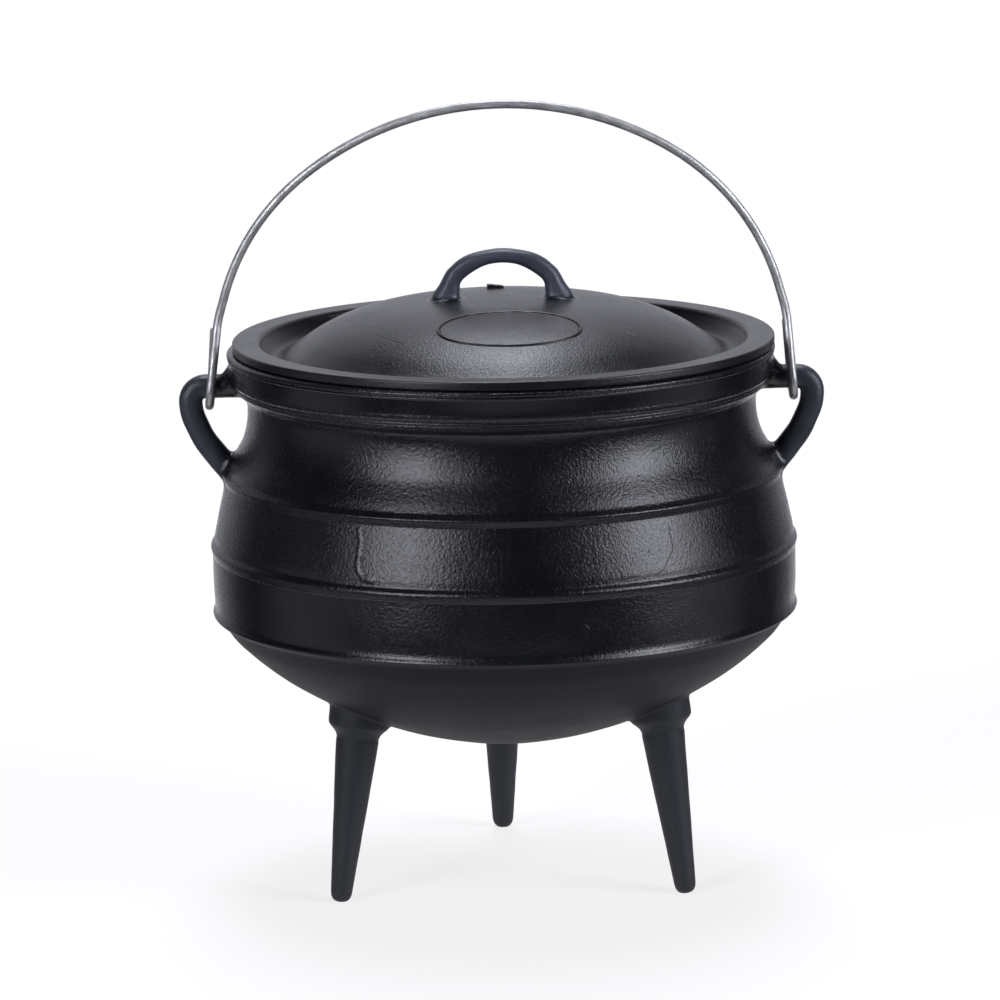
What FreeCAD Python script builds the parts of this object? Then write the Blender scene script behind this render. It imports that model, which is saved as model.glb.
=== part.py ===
import FreeCAD, Part
import math, os

# Three-legged cast-iron potjie pot that holds 7.8 litres to the brim.
# Millimetres, +Z up. Origin: on the floor, on the pot's own axis.
# The two ears lie on the X axis, so the bail turns about X.
# Three pieces: the pot (one casting with its ears and legs), the lid (one
# casting with its loop handle) and the bail (one bent wire).

V = FreeCAD.Vector

# ------------------------------------------------------------ driving sizes
WALL = 5.5                # thickness of the pot's wall
BELLY_R = 138.5           # plain wall of the belly
NECK_R = 120.4            # narrowest place, under the collar
MOUTH_R = 121.7           # clear radius of the mouth
LIP_Z = 256.8             # seat of the lid
LIP_R = 130.0             # crest of the lip's bead
BAND_H = 1.5              # how far each raised band stands off the belly
BAND_W = 3.5              # half the height of a band
BAND_Z = (197.5, 164.1, 132.7)   # upper, middle and lower band

EAR_Z = 239.7             # axis of the ear bars, which is the bail's axis
EAR_R = 5.8               # radius of the round ear
EAR_OUT = 147.9           # furthest reach of the ear's centre line

LEG_FOOT_R = 94.6         # circle through the three feet
LEG_TOP_R = 82.6          # circle through the legs' centre lines at LEG_TOP_Z
LEG_TOP_Z = 82.0
LEG_YAW = 1.8             # the legs stand a little turned from the ears
LEG_TIP_R = 5.1           # radius just above the rounded tip
LEG_ROOT_R = 10.0         # radius under the boss
LEG_BOSS_R = 14.0         # radius of the boss at the root
LEG_FLAT_R = 3.4          # the small flat that it stands on

LID_R = 128.3             # outer radius of the lid
LID_EDGE = 4.5            # thickness of the lid's flat rim
LID_FLAT_R = 117.4        # inner edge of the flat rim
LID_CHANNEL_Z = 252.6     # bottom of the channel inside the rim
LID_TOP_Z = 279.9         # crown of the dome
LID_WALL = 4.5            # thickness of the lid
LID_SHIFT_X = 1.3         # the lid has play in the mouth and lies off-centre

GRIP_TOP_Z = 299.85       # centre line of the loop handle at its top
GRIP_TOP_R = 33.0         # radius of its upper arc
GRIP_TURN = 40.0          # half-angle of that arc
GRIP_SIDE_R = 9.0         # radius of its shoulders
GRIP_SIDE_TO = 78.0       # slope of its limbs
GRIP_ROOT_Z = 277.2       # where its limbs end, inside the lid's wall
GRIP_A = 3.8              # half-thickness of the section
GRIP_B = 4.9              # half-width of the section

WIRE_R = 2.1              # bail wire
HOOK_R = 9.3              # centre line of the hook about the ear bar
BAIL_LEAN = 5.0           # the bail stands this far forward of upright
HOOK_X = 138.5            # where the hooks hold the ears

# --------------------------------------------------------------- small tools
def pol(r, z, a=0.0):
    return V(r * math.cos(a), r * math.sin(a), z)

def P(r, z):
    return V(r, 0, z)

def line(a, b):
    return Part.LineSegment(a, b).toShape()

def arc3(a, m, b):
    return Part.Arc(a, m, b).toShape()

def spline(pts, t0=None, t1=None):
    c = Part.BSplineCurve()
    if t0 is not None and t1 is not None:
        c.interpolate(Points=pts, InitialTangent=t0, FinalTangent=t1)
    else:
        c.interpolate(Points=pts)
    return c.toShape()

def turned(edges):
    face = Part.Face(Part.Wire(edges))
    s = face.revolve(V(0, 0, 0), V(0, 0, 1), 360)
    return Part.Solid(s) if s.ShapeType == "Shell" else s

def rounded_path(pts, radii):
    """Straight runs joined by tangent arcs, radii for the inner corners."""
    edges = []
    cur = pts[0]
    for i in range(1, len(pts) - 1):
        a, b, c = pts[i - 1], pts[i], pts[i + 1]
        u = (a - b).normalize()
        w = (c - b).normalize()
        half = u.getAngle(w) / 2.0
        r = radii[i - 1]
        d = r / math.tan(half)
        p1 = b + u * d
        p2 = b + w * d
        mid_dir = (u + w).normalize()
        centre = b + mid_dir * (r / math.sin(half))
        pm = centre - mid_dir * r
        if (p1 - cur).Length > 1e-4:
            edges.append(line(cur, p1))
        edges.append(arc3(p1, pm, p2))
        cur = p2
    if (pts[-1] - cur).Length > 1e-4:
        edges.append(line(cur, pts[-1]))
    return edges

def swept(edges, section):
    path = Part.Wire(edges)
    s = path.makePipeShell([section], True, False)
    return s

def circle_wire(centre, normal, r):
    return Part.Wire([Part.makeCircle(r, centre, normal)])

# ------------------------------------------------- outer wall of the turned pot
# plain wall (radius, height), from the crown of the bottom to the neck
BOTTOM = [(0.0, 66.6), (14.3, 67.5), (28.7, 69.9), (38.2, 72.3), (47.8, 74.9),
          (57.3, 77.9), (66.9, 81.5), (76.4, 85.5), (86.0, 90.0), (95.5, 95.3),
          (102.5, 99.5), (108.0, 103.1), (113.2, 106.9), (118.0, 110.7),
          (122.4, 114.5), (126.5, 118.3), (130.2, 122.1), (133.0, 126.0),
          (135.2, BAND_Z[2] - BAND_W)]
SHOULDER = [(137.7, BAND_Z[1] + BAND_W), (136.0, 175.6), (134.8, 181.4),
            (133.4, 187.1), (132.3, 192.2), (131.8, BAND_Z[0] - BAND_W)]
NECK = [(130.2, BAND_Z[0] + BAND_W), (129.4, 202.7), (127.2, 206.7), (125.3, 210.0),
        (123.3, 213.8), (122.05, 217.6), (121.1, 221.5), (120.6, 225.3),
        (NECK_R, 229.1), (120.6, 232.9), (121.4, 235.3)]

def bead(lo, hi, h=BAND_H):
    """A rounded band between two points of the wall."""
    a, b = P(*lo), P(*hi)
    t = (b - a).normalize()
    n = V(t.z, 0, -t.x)
    return arc3(a, (a + b) * 0.5 + n * h, b)

edges = []
edges.append(spline([P(*p) for p in BOTTOM], V(1, 0, 0), V(0.62, 0, 0.785)))
lo3, hi3 = BOTTOM[-1], (138.0, BAND_Z[2] + BAND_W)
edges.append(bead(lo3, hi3))
edges.append(spline([P(*hi3), P(138.35, 142.0), P(BELLY_R, 150.0),
                     P(BELLY_R, BAND_Z[1] - BAND_W)], V(0.2, 0, 1), V(0, 0, 1)))
edges.append(bead((BELLY_R, BAND_Z[1] - BAND_W), SHOULDER[0]))
edges.append(spline([P(*p) for p in SHOULDER]))
edges.append(bead(SHOULDER[-1], NECK[0]))
edges.append(spline([P(*p) for p in NECK]))
# collar: two fine beads, a rounded underside, a plain taper, a step and the lip's bead
edges.append(line(P(*NECK[-1]), P(122.6, 236.5)))
edges.append(line(P(122.6, 236.5), P(125.1, 238.9)))
edges.append(bead((125.1, 238.9), (125.9, 240.3), 0.4))
edges.append(bead((125.9, 240.3), (126.5, 241.8), 0.4))
edges.append(bead((126.5, 241.8), (128.0, 245.6), 0.7))
edges.append(line(P(128.0, 245.6), P(129.0, 252.9)))
edges.append(line(P(129.0, 252.9), P(129.45, 253.3)))
edges.append(line(P(129.45, 253.3), P(129.0, 254.1)))
edges.append(bead((129.0, 254.1), (128.8, 256.3), 0.95))
edges.append(line(P(128.8, 256.3), P(128.1, LIP_Z)))
# close through the axis: first the solid form without its hollow
edges.append(line(P(128.1, LIP_Z), P(0, LIP_Z)))
edges.append(line(P(0, LIP_Z), P(0, BOTTOM[0][1])))
body = turned(edges)

# ---------------------------------------------------------------- the hollow
def offset_in(pts, t):
    out = []
    for i, (r, z) in enumerate(pts):
        a = pts[max(i - 1, 0)]
        b = pts[min(i + 1, len(pts) - 1)]
        d = V(b[0] - a[0], 0, b[1] - a[1]).normalize()
        out.append((r - d.z * t, z + d.x * t))
    return out

wall = (BOTTOM[:-1] + [(136.0, 131.6), (137.6, 136.6), (138.2, 143.0), (BELLY_R, 150.0),
        (BELLY_R, 158.0), (138.3, 164.0), (137.3, 170.0)] + SHOULDER[1:-1] + NECK[1:-2])
inner = offset_in(wall, WALL)
inner[0] = (0.0, BOTTOM[0][1] + WALL)
inner = inner + [(116.3, 234.6), (118.6, 239.0), (120.9, 243.2)]
hollow_edges = [spline([P(*p) for p in inner], V(1, 0, 0), V(0.33, 0, 0.94)),
                line(P(*inner[-1]), P(MOUTH_R, 246.4)),
                line(P(MOUTH_R, 246.4), P(MOUTH_R, LIP_Z + 1.0)),
                line(P(MOUTH_R, LIP_Z + 1.0), P(0, LIP_Z + 1.0)),
                line(P(0, LIP_Z + 1.0), P(*inner[0]))]
hollow = turned(hollow_edges)

# ------------------------------------------------------------------ the ears
def ear(side):
    pts = [V(112.0, 0, EAR_Z), V(EAR_OUT, 0, EAR_Z), V(146.9, 0, 226.6),
           V(141.4, 0, 214.2), V(133.2, 0, 203.6), V(125.5, 0, 196.6)]
    radii = [7.2, 24.0, 30.0, 30.0]
    e = rounded_path(pts, radii)
    s = swept(e, circle_wire(pts[0], V(1, 0, 0), EAR_R))
    # flare where the bar leaves the collar
    flare = [line(V(118, 0, EAR_Z), V(118, 0, EAR_Z + 9.0)),
             line(V(118, 0, EAR_Z + 9.0), V(126.6, 0, EAR_Z + 8.4)),
             arc3(V(126.6, 0, EAR_Z + 8.4), V(128.3, 0, EAR_Z + 6.55), V(131.0, 0, EAR_Z + EAR_R)),
             line(V(131.0, 0, EAR_Z + EAR_R), V(131.0, 0, EAR_Z)),
             line(V(131.0, 0, EAR_Z), V(118, 0, EAR_Z))]
    f = Part.Face(Part.Wire(flare)).revolve(V(0, 0, EAR_Z), V(1, 0, 0), 360)
    s = s.fuse(f)
    if side < 0:
        s = s.mirror(V(0, 0, 0), V(1, 0, 0))
    return s

# ------------------------------------------------------------------ the legs
def leg(angle_deg):
    a = math.radians(angle_deg)
    foot = V(LEG_FOOT_R, 0, 0)
    top = V(LEG_TOP_R, 0, LEG_TOP_Z)
    axis = (top - foot).normalize()
    # profile along the axis from the floor up: (distance, radius)
    tip = LEG_TIP_R
    e = [line(P(0, -3.0), P(LEG_FLAT_R, -3.0)),
         line(P(LEG_FLAT_R, -3.0), P(LEG_FLAT_R, 0.35)),
         arc3(P(LEG_FLAT_R, 0.35), P(tip - 0.62, 1.35), P(tip, 4.0)),
         line(P(tip, 4.0), P(LEG_ROOT_R, 77.5)),
         arc3(P(LEG_ROOT_R, 77.5), P(11.1, 80.6), P(13.2, 84.0)),
         arc3(P(13.2, 84.0), P(13.8, 85.3), P(LEG_BOSS_R, 87.0)),
         line(P(LEG_BOSS_R, 87.0), P(LEG_BOSS_R, 106.0)),
         line(P(LEG_BOSS_R, 106.0), P(0, 106.0)),
         line(P(0, 106.0), P(0, -3.0))]
    s = turned(e)
    rot = FreeCAD.Rotation(V(0, 0, 1), axis)
    s.Placement = FreeCAD.Placement(foot, rot)
    # the flat that it stands on
    cut = Part.makeBox(80, 80, 20, V(LEG_FOOT_R - 40, -40, -20))
    s = s.cut(cut)
    s.rotate(V(0, 0, 0), V(0, 0, 1), angle_deg)
    return s

pot = body
for side in (1, -1):
    pot = pot.fuse(ear(side))
for k in (210.0, 330.0, 90.0):
    pot = pot.fuse(leg(k + LEG_YAW))
pot = pot.cut(hollow)
pot = pot.removeSplitter()

# ------------------------------------------------------------------- the lid
def dome_z(r):
    q = r / 0.955
    return LID_TOP_Z - 0.955 * (0.00059 * q * q + 14.62e-8 * q ** 4)

dome = [(r, dome_z(r)) for r in (0.0, 16.0, 32.0, 46.0, 58.0, 68.0, 77.0, 85.0, 92.0, 98.0)]
top = dome + [(102.4, dome_z(102.4) + 0.35), (106.4, LID_CHANNEL_Z + 0.15),
              (109.0, LID_CHANNEL_Z + 0.25), (112.0, 255.2), (114.8, 258.9)]
rim_z = LIP_Z + LID_EDGE
under = offset_in(top, -LID_WALL)
under[0] = (0.0, LID_TOP_Z - LID_WALL)
UNDER_R = 119.9           # the locating ring, clear of the mouth
lid_edges = [
    spline([P(*p) for p in top], V(1, 0, 0), V(0.6, 0, 0.8)),
    arc3(P(*top[-1]), P(115.9, 260.55), P(LID_FLAT_R, rim_z)),
    line(P(LID_FLAT_R, rim_z), P(LID_R - 0.5, rim_z)),
    arc3(P(LID_R - 0.5, rim_z), P(LID_R - 0.15, rim_z - 0.15), P(LID_R, rim_z - 0.5)),
    line(P(LID_R, rim_z - 0.5), P(LID_R, LIP_Z)),
    line(P(LID_R, LIP_Z), P(UNDER_R, LIP_Z)),
]
under_pts = under[:-3] + [(109.4, 248.1), (112.6, 248.5), (115.6, 250.2)]
back = [P(*p) for p in reversed(under_pts)]
lid_edges += [
    line(P(UNDER_R, LIP_Z), P(118.6, 253.4)),
    arc3(P(118.6, 253.4), P(117.5, 251.6), P(115.6, 250.2)),
    spline(back, V(-0.85, 0, -0.5), V(-1, 0, 0)),
    line(P(*under_pts[0]), P(0, LID_TOP_Z)),
]
lid_body = turned(lid_edges)

def grip():
    a = math.radians(GRIP_TURN)
    b = math.radians(GRIP_SIDE_TO)
    zc = GRIP_TOP_Z - GRIP_TOP_R
    x1, z1 = GRIP_TOP_R * math.sin(a), zc + GRIP_TOP_R * math.cos(a)
    cx, cz = x1 - GRIP_SIDE_R * math.sin(a), z1 - GRIP_SIDE_R * math.cos(a)
    m = (a + b) / 2
    xm, zm = cx + GRIP_SIDE_R * math.sin(m), cz + GRIP_SIDE_R * math.cos(m)
    x2, z2 = cx + GRIP_SIDE_R * math.sin(b), cz + GRIP_SIDE_R * math.cos(b)
    drop = z2 - GRIP_ROOT_Z
    x3, z3 = x2 + drop / math.tan(b), GRIP_ROOT_Z
    e = [line(V(-x3, 0, z3), V(-x2, 0, z2)),
         arc3(V(-x2, 0, z2), V(-xm, 0, zm), V(-x1, 0, z1)),
         arc3(V(-x1, 0, z1), V(0, 0, GRIP_TOP_Z), V(x1, 0, z1)),
         arc3(V(x1, 0, z1), V(xm, 0, zm), V(x2, 0, z2)),
         line(V(x2, 0, z2), V(x3, 0, z3))]
    d = (V(-x2, 0, z2) - V(-x3, 0, z3)).normalize()
    # turn the ellipse so its long axis is along Y and its normal along the limb
    side_dir = V(0, 1, 0)
    other = d.cross(side_dir)
    m4 = FreeCAD.Matrix(side_dir.x, other.x, d.x, 0, side_dir.y, other.y, d.y, 0,
                        side_dir.z, other.z, d.z, 0, 0, 0, 0, 1)
    w = Part.Wire([Part.Ellipse(V(0, 0, 0), GRIP_B, GRIP_A).toShape()])
    w = w.transformGeometry(m4)
    w.translate(V(-x3, 0, z3))
    s = swept(e, w)
    # spread feet
    for sgn in (-1, 1):
        foot = V(sgn * x3, 0, z3)
        up = V(-sgn * math.cos(b), 0, math.sin(b))
        f = [line(P(0, 0), P(6.9, 0)), line(P(6.9, 0), P(6.5, 4.0)),
             arc3(P(6.5, 4.0), P(5.1, 5.5), P(4.4, 8.2)), line(P(4.4, 8.2), P(0, 8.2)),
             line(P(0, 8.2), P(0, 0))]
        t = turned(f)
        t.Placement = FreeCAD.Placement(foot, FreeCAD.Rotation(V(0, 0, 1), up))
        s = s.fuse(t)
    return s

# low stub left by the pouring gate, behind the handle
stub = Part.makeBox(8.0, 3.4, 4.6, V(-7.4, 31.5, dome_z(33.0) - 2.5))
lid = lid_body.fuse(grip()).fuse(stub)
lid = lid.removeSplitter()
lid.translate(V(LID_SHIFT_X, 0, 0))

# ------------------------------------------------------------------ the bail
# its own plane first: x along the ears, y across, h up from the ear axis
def arch(x, h, ang, arcs):
    """Tangent arcs in the plane; each is (radius, length), turning clockwise."""
    out = []
    for r, length in arcs:
        t = length / r
        cx, ch = x + r * math.sin(ang), h - r * math.cos(ang)
        def at(u):
            return V(cx - r * math.sin(ang - u), 0, ch + r * math.cos(ang - u))
        out.append(arc3(at(0), at(t / 2), at(t)))
        p = at(t)
        x, h, ang = p.x, p.z, ang - t
    return out, x, h, ang

A0 = (-129.58, 44.88, math.radians(73.52))
ARCS = [(112.1, 66.68), (150.8, 185.41), (114.7, 87.0)]
arch_edges, ex, eh, ea = arch(A0[0], A0[1], A0[2], ARCS)

def hook(x0, h0, dirx, dirh, side):
    """From the arch's end down, round under the ear bar and up again."""
    # (x0, h0): arch end; (dirx, dirh): unit direction away from the arch
    top_h = 32.0
    t = (top_h - h0) / dirh
    c0 = V(x0 + dirx * t, 0, top_h)
    s = math.asin(HOOK_R / top_h)
    drop = top_h + HOOK_R
    c1 = V(side * HOOK_X, -drop * math.tan(s), -HOOK_R)
    c2 = V(side * (HOOK_X - 0.3), drop * math.tan(s), -HOOK_R)
    tip = V(side * (HOOK_X - 3.3), 2.4, 27.5)
    return [V(x0, 0, h0), c0, c1, c2, tip]

lp = hook(A0[0], A0[1], -math.cos(A0[2]), -math.sin(A0[2]), -1)
rp = hook(ex, eh, math.cos(ea), math.sin(ea), 1)
RAD = [30.0, HOOK_R, HOOK_R]
left = rounded_path(list(reversed(lp)), list(reversed(RAD)))
right = rounded_path(rp, RAD)
path = left + arch_edges + right
tip, nxt = lp[-1], lp[-2]
bail = swept(path, circle_wire(tip, (nxt - tip).normalize(), WIRE_R))
bail.rotate(V(0, 0, 0), V(1, 0, 0), BAIL_LEAN)
bail.translate(V(0, 0, EAR_Z))

# -------------------------------------------------------------------- output
os.makedirs("parts", exist_ok=True)
for name, shape in (("pot", pot), ("lid", lid), ("bail_handle", bail)):
    if shape.ShapeType != "Solid" and len(shape.Solids) == 1:
        shape = shape.Solids[0]
    bb = shape.BoundBox
    print(name, shape.ShapeType, "valid", shape.isValid(), "solids", len(shape.Solids),
          "faces", len(shape.Faces), "cm3", round(shape.Volume / 1000, 1),
          "box", [round(v, 1) for v in (bb.XMin, bb.YMin, bb.ZMin, bb.XMax, bb.YMax, bb.ZMax)])
    shape.exportStep("parts/%s.step" % name)
print("brimful litres", round(hollow.Volume / 1e6 - math.pi * MOUTH_R ** 2 * 1.0 / 1e6, 3))
print("wire length", round(Part.Wire(path).Length, 1), "check",
      round(bail.Volume / (math.pi * WIRE_R ** 2), 1))
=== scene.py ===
import math
import bpy
import numpy as np
from mathutils import Matrix, Vector


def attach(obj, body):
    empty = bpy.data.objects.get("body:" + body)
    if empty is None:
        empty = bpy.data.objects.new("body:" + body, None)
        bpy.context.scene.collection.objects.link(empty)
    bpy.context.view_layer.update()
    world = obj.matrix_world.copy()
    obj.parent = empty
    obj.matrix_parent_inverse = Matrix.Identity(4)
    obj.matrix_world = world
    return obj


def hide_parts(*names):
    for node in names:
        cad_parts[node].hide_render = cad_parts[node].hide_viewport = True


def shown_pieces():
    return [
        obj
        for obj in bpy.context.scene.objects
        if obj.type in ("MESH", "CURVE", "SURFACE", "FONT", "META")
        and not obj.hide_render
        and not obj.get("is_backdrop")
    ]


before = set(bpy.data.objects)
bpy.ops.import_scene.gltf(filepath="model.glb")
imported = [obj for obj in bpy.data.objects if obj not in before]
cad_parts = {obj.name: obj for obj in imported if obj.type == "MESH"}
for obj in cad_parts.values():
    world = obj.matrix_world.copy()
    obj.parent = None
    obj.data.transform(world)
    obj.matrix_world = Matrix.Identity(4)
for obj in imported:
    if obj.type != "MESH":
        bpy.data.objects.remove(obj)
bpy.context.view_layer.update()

# Three-legged cast-iron pot with a domed lid and a wire bail.
# Everything below is worked out in millimetres in the shared frame and
# turned into metres when a mesh is made. +Z up, the ears lie along X.

# ---------------------------------------------------------------- smooth noise
_rs = np.random.RandomState(11)
_g = _rs.normal(size=(40, 40, 40, 3))
GRAD = _g / np.linalg.norm(_g, axis=-1, keepdims=True)


def noise(p, size, seed=0.0):
    """Gradient noise, about -0.7 to 0.7, with features as large as size."""
    q = p / size + np.array([17.31, 5.77, 11.93]) * (seed + 1.0)
    q = q @ np.array([[0.80, 0.36, -0.48], [-0.60, 0.48, -0.64], [0.0, 0.80, 0.60]]).T
    i = np.floor(q).astype(np.int64)
    f = q - i
    u = f * f * f * (f * (f * 6 - 15) + 10)
    out = 0.0
    for dx in (0, 1):
        wx = u[:, 0] if dx else 1 - u[:, 0]
        for dy in (0, 1):
            wy = u[:, 1] if dy else 1 - u[:, 1]
            for dz in (0, 1):
                wz = u[:, 2] if dz else 1 - u[:, 2]
                g = GRAD[(i[:, 0] + dx) % 40, (i[:, 1] + dy) % 40, (i[:, 2] + dz) % 40]
                d = f - np.array([dx, dy, dz], float)
                out = out + wx * wy * wz * (g * d).sum(1)
    return out


def smooth01(x):
    x = np.clip(x, 0.0, 1.0)
    return x * x * (3 - 2 * x)


def cast_skin(p):
    """How far the sand-cast surface stands off its true form, in millimetres."""
    d = 0.13 * noise(p, 23.0, 0) + 0.045 * noise(p, 9.5, 1) + 0.016 * noise(p, 5.2, 2)
    r = np.hypot(p[:, 0], p[:, 1])
    z = p[:, 2]
    # the lip, the collar's face and the lid's rim are much truer
    fine = smooth01((z - 241.5) / 3.0) * smooth01((r - 114.0) / 3.0)
    d = d * (1 - 0.88 * fine)
    return d * smooth01((z - 0.2) / 4.0)


# --------------------------------------------------------------- plane curves
def arc3(a, m, b, n=40):
    """Points of the circle's arc from a through m to b."""
    (ax, ay), (bx, by), (cx, cy) = a, m, b
    d = 2 * (ax * (by - cy) + bx * (cy - ay) + cx * (ay - by))
    ux = ((ax * ax + ay * ay) * (by - cy) + (bx * bx + by * by) * (cy - ay) + (cx * cx + cy * cy) * (ay - by)) / d
    uy = ((ax * ax + ay * ay) * (cx - bx) + (bx * bx + by * by) * (ax - cx) + (cx * cx + cy * cy) * (bx - ax)) / d
    r = math.hypot(ax - ux, ay - uy)
    t0, tm, t1 = (math.atan2(y - uy, x - ux) for x, y in (a, m, b))
    turn = (t1 - t0) % (2 * math.pi)
    if (tm - t0) % (2 * math.pi) > turn:
        turn -= 2 * math.pi
    t = t0 + turn * np.linspace(0, 1, n)
    return np.stack([ux + r * np.cos(t), uy + r * np.sin(t)], 1)


def bead(lo, hi, h, n=60):
    """A rounded band between two points of the wall, standing h off it."""
    a, b = np.array(lo, float), np.array(hi, float)
    t = (b - a) / np.linalg.norm(b - a)
    m = (a + b) / 2 + np.array([t[1], -t[0]]) * h
    return arc3(tuple(a), tuple(m), tuple(b), n)


def spline(pts, n=200):
    """Natural cubic spline through points, by chord length."""
    P = np.array(pts, float)
    s = np.r_[0, np.cumsum(np.linalg.norm(np.diff(P, axis=0), axis=1))]
    h = np.diff(s)
    k = len(P)
    A = np.eye(k)
    B = np.zeros((k, P.shape[1]))
    for i in range(1, k - 1):
        A[i, i - 1], A[i, i], A[i, i + 1] = h[i - 1], 2 * (h[i - 1] + h[i]), h[i]
        B[i] = 6 * ((P[i + 1] - P[i]) / h[i] - (P[i] - P[i - 1]) / h[i - 1])
    M = np.linalg.solve(A, B)
    t = np.linspace(0, s[-1], n)
    j = np.clip(np.searchsorted(s, t, side="right") - 1, 0, k - 2)
    a = (s[j + 1] - t)[:, None]
    b = (t - s[j])[:, None]
    hh = h[j][:, None]
    return (M[j] * a ** 3 / (6 * hh) + M[j + 1] * b ** 3 / (6 * hh)
            + (P[j] / hh - M[j] * hh / 6) * a + (P[j + 1] / hh - M[j + 1] * hh / 6) * b)


def fine_line(parts, step=0.1, blur=0.3):
    """Joins pieces of a profile, in equal fine steps, with its corners eased."""
    P = np.concatenate([np.asarray(q, float) for q in parts])
    keep = np.r_[True, np.linalg.norm(np.diff(P, axis=0), axis=1) > 1e-6]
    P = P[keep]
    s = np.r_[0, np.cumsum(np.linalg.norm(np.diff(P, axis=0), axis=1))]
    n = int(s[-1] / step) + 1
    t = np.linspace(0, s[-1], n)
    Q = np.stack([np.interp(t, s, P[:, 0]), np.interp(t, s, P[:, 1])], 1)
    m = int(4 * blur / step) + 1
    w = np.exp(-0.5 * (np.arange(-m, m + 1) * step / blur) ** 2)
    w /= w.sum()
    ext = np.concatenate([2 * Q[0] - Q[m:0:-1], Q, 2 * Q[-1] - Q[-2:-m - 2:-1]])
    return np.stack([np.convolve(ext[:, k], w, "valid") for k in (0, 1)], 1)


def thin_rows(Q, n, base, per_turn):
    """Picks n rows along a fine line, closer together where it bends."""
    d = np.gradient(Q, axis=0)
    ds = np.linalg.norm(d, axis=1)
    ang = np.unwrap(np.arctan2(d[:, 1], d[:, 0]))
    k = np.abs(np.gradient(ang)) / ds
    w = np.ones(9) / 9
    k = np.convolve(np.pad(k, 4, mode="edge"), w, "valid")
    c = np.r_[0, np.cumsum(((1 / base + per_turn * k) * ds)[:-1])]
    t = np.interp(np.linspace(0, c[-1], n), c, np.arange(len(Q)))
    i = np.clip(t.astype(int), 0, len(Q) - 2)
    f = (t - i)[:, None]
    rows = Q[i] * (1 - f) + Q[i + 1] * f
    dd = d[i] * (1 - f) + d[i + 1] * f
    dd /= np.linalg.norm(dd, axis=1, keepdims=True)
    return rows, dd


# ------------------------------------------------------------- the turned pot
BOTTOM = [(-28.7, 69.9), (-14.3, 67.5), (0.0, 66.6), (14.3, 67.5), (28.7, 69.9), (38.2, 72.3), (47.8, 74.9),
          (57.3, 77.9), (66.9, 81.5), (76.4, 85.5), (86.0, 90.0), (95.5, 95.3), (102.5, 99.5), (108.0, 103.1),
          (113.2, 106.9), (118.0, 110.7), (122.4, 114.5), (126.5, 118.3), (130.2, 122.1), (133.0, 126.0),
          (135.2, 129.2)]
BELLY = [(138.0, 136.2), (138.35, 142.0), (138.5, 150.0), (138.5, 160.5)]
SHOULDER = [(137.7, 167.7), (136.0, 175.6), (134.8, 181.4), (133.4, 187.1), (132.3, 192.2), (131.8, 194.1)]
NECK = [(130.2, 200.9), (129.4, 202.7), (127.2, 206.7), (125.3, 210.0), (123.3, 213.8), (122.05, 217.6),
        (121.1, 221.5), (120.6, 225.3), (120.4, 229.1), (120.6, 232.6), (121.3, 235.2)]
WALL = 5.5


def right_half(P):
    return P[P[:, 0] >= 0]


bottom = right_half(spline(BOTTOM, 1600))
bottom[0, 0] = 0.0
outer_parts = [
    bottom,
    [(135.2, 129.2), (137.7, 130.4), (138.95, 131.5), (139.1, 132.1), (138.95, 132.8), (138.3, 133.85), (138.1, 134.5), (138.02, 136.3)],
    spline(BELLY, 120),
    [(138.55, 160.3), (139.35, 163.6), (139.35, 164.1), (139.0, 165.0), (137.75, 166.4), (137.5, 167.0), (137.42, 168.2), (137.35, 169.6)],
    spline(SHOULDER, 120)[32:],
    [(131.85, 194.3), (132.75, 197.4), (132.7, 197.95), (130.45, 200.35), (130.25, 200.8)],
    spline(NECK, 260),
    [(121.75, 235.75), (122.7, 236.6)],
    arc3((122.7, 236.6), (124.1, 237.55), (125.1, 238.9)),
    bead((125.1, 238.9), (125.85, 240.3), 0.5),
    bead((125.85, 240.3), (126.45, 241.75), 0.45),
    bead((126.45, 241.75), (128.0, 245.6), 0.62),
    [(128.0, 245.6), (129.0, 252.9), (129.5, 253.35), (129.45, 253.75), (128.95, 254.15)],
    bead((128.95, 254.15), (128.75, 256.35), 0.95),
    [(128.75, 256.35), (128.1, 256.78), (122.4, 256.78), (121.75, 256.2), (121.7, 255.0)],
]
outer_line = fine_line(outer_parts, 0.1, 0.2)
outer_line[0, 0] = 0.0

inner_wall = (BOTTOM[2:-1] + [(136.0, 131.6), (137.6, 136.6), (138.2, 143.0), (138.5, 150.0), (138.5, 158.0),
              (138.3, 164.0), (137.3, 170.0)] + SHOULDER[1:-1] + NECK[1:-2])


def offset_in(pts, t):
    out = []
    for i, (r, z) in enumerate(pts):
        a, b = pts[max(i - 1, 0)], pts[min(i + 1, len(pts) - 1)]
        d = np.array([b[0] - a[0], b[1] - a[1]])
        d = d / np.linalg.norm(d)
        out.append((r - d[1] * t, z + d[0] * t))
    return out


inner = offset_in(inner_wall, WALL)
inner[0] = (0.0, 66.6 + WALL)
inner = inner + [(116.3, 234.6), (118.6, 239.0), (120.9, 243.2)]
mirrored = [(-r, z) for r, z in inner[3:0:-1]]
inner_curve = right_half(spline(mirrored + inner, 2400))
inner_curve[0, 0] = 0.0
inner_line = fine_line([inner_curve, [(121.7, 246.4), (121.7, 255.0)]], 0.2, 0.6)
inner_line[0, 0] = 0.0
inner_line[-1] = outer_line[-1]

# the outer wall as r(z) above the widest part of the bowl, and as z(r) below
_k = outer_line[:, 1].argmax()
_up = outer_line[(np.arange(len(outer_line)) < _k) & (outer_line[:, 1] > 100)]
_up = _up[np.r_[True, np.diff(np.maximum.accumulate(_up[:, 1])) > 0]]
_bowl = outer_line[outer_line[:, 1] < 128.5]
_bowl = _bowl[np.r_[True, np.diff(_bowl[:, 0]) > 0]]


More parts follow.
